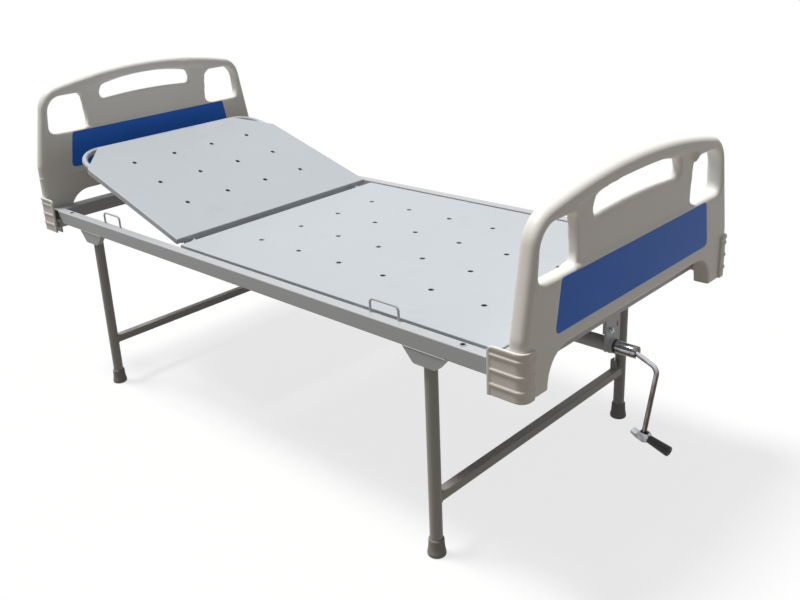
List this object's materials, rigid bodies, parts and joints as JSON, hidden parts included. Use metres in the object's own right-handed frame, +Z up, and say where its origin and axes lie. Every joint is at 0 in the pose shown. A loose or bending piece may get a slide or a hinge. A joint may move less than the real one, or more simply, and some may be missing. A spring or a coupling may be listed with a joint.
{
  "type": "semi-fowler hospital bed",
  "caption": "Hospital bed with a perforated steel platform, moulded end panels and a backrest that a folding crank at the foot end raises through a screw and push tube.",
  "frame": {"origin": "on the floor, under the middle of the overall box", "axes": "+X to the foot end, +Y to the far side rail (the patient's left when lying on the back), +Z up"},
  "size_m": [2.1246, 0.93, 1.03],
  "materials": {
    "frame_paint": "satin powder coat",
    "sheet_paint": "satin powder coat",
    "panel_plastic": "moulded ABS, semi-gloss",
    "inset_laminate": "blue laminate strip",
    "foot_rubber": "matte",
    "zinc_plate": "zinc plated",
    "chrome_plate": "bright plated",
    "black_plastic": "moulded",
    "bush_plastic": "moulded",
    "brass": "turned"
  },
  "bodies": {
    "root": {"side_rail_near": "frame_paint", "side_rail_far": "frame_paint", "foot_end_tube": "frame_paint", "head_end_tube": "frame_paint", "hinge_cross_tube": "frame_paint", "platform_cross_tubes": "frame_paint", "leg_foot_near": "frame_paint", "leg_foot_far": "frame_paint", "leg_head_near": "frame_paint", "leg_head_far": "frame_paint", "leg_gussets": "frame_paint", "foot_crossbar": "frame_paint", "head_crossbar": "frame_paint", "hinge_lugs": "frame_paint", "crank_bracket": "frame_paint", "crank_bearing_plate": "frame_paint", "housing_hanger": "frame_paint", "crank_housing": "frame_paint", "mattress_loop_foot_near": "frame_paint", "mattress_loop_foot_far": "frame_paint", "mattress_loop_head_near": "frame_paint", "mattress_loop_head_far": "frame_paint", "platform_sheet": "sheet_paint", "platform_stiffeners": "sheet_paint", "foot_panel": "panel_plastic", "head_panel": "panel_plastic", "corner_cover_foot_near": "panel_plastic", "corner_cover_foot_far": "panel_plastic", "corner_cover_head_near": "panel_plastic", "corner_cover_head_far": "panel_plastic", "foot_panel_inset": "inset_laminate", "head_panel_inset": "inset_laminate", "rubber_foot_foot_near": "foot_rubber", "rubber_foot_foot_far": "foot_rubber", "rubber_foot_head_near": "foot_rubber", "rubber_foot_head_far": "foot_rubber", "hinge_bolts": "zinc_plate", "panel_bolts": "zinc_plate", "bracket_bolt": "zinc_plate", "crank_bush": "black_plastic", "guide_bush": "bush_plastic"},
    "backrest": {"backrest_sheet": "sheet_paint", "backrest_bow": "sheet_paint", "hinge_bar": "sheet_paint", "backrest_stiffeners": "sheet_paint", "hinge_eyes": "sheet_paint", "backrest_lever": "sheet_paint", "lever_pin": "zinc_plate"},
    "push": {"push_tongue": "sheet_paint", "push_tube": "sheet_paint", "push_nut": "brass"},
    "crank": {"lead_screw": "zinc_plate", "crank_sleeve": "chrome_plate", "fold_pin": "chrome_plate"},
    "crank_arm": {"crank_rod": "chrome_plate"},
    "grip_hinge": {"grip_pin": "chrome_plate", "grip_casting": "chrome_plate", "grip_spindle": "chrome_plate"},
    "grip": {"crank_grip": "black_plastic"}
  },
  "joints": [
    {"name": "crank_turn", "type": "hinge", "parent": "root", "child": "crank", "pos_m": [0.95615, -0.03, 0.475], "axis": [1, 0, 0], "range_deg": [-1800, 5040]},
    {"name": "backrest_tilt", "type": "hinge", "parent": "root", "child": "backrest", "pos_m": [-0.31585, 0, 0.576], "axis": [0, 1, 0], "range_deg": [-17.45, 48.87]},
    {"name": "push_slide", "type": "slide", "parent": "root", "child": "push", "axis": [-1, 0, 0], "range_m": [-0.0301, 0.0841]},
    {"name": "crank_fold", "type": "hinge", "parent": "crank", "child": "crank_arm", "pos_m": [0.95615, -0.03, 0.475], "axis": [0, 1, 0], "range_deg": [-23, 64]},
    {"name": "grip_fold", "type": "hinge", "parent": "crank_arm", "child": "grip_hinge", "pos_m": [0.99102, -0.03, 0.26502], "axis": [0, 1, 0], "range_deg": [0, 60]},
    {"name": "grip_spin", "type": "hinge", "parent": "grip_hinge", "child": "grip", "pos_m": [0.99102, -0.03, 0.26502], "axis": [0.9613, 0, -0.2756], "continuous": true}
  ],
  "couplings": [
    {"joint": "backrest_tilt", "follows": "crank_turn", "ratio": 0.0096944},
    {"joint": "push_slide", "follows": "crank_turn", "m_per_rad": 0.00095493}
  ]
}
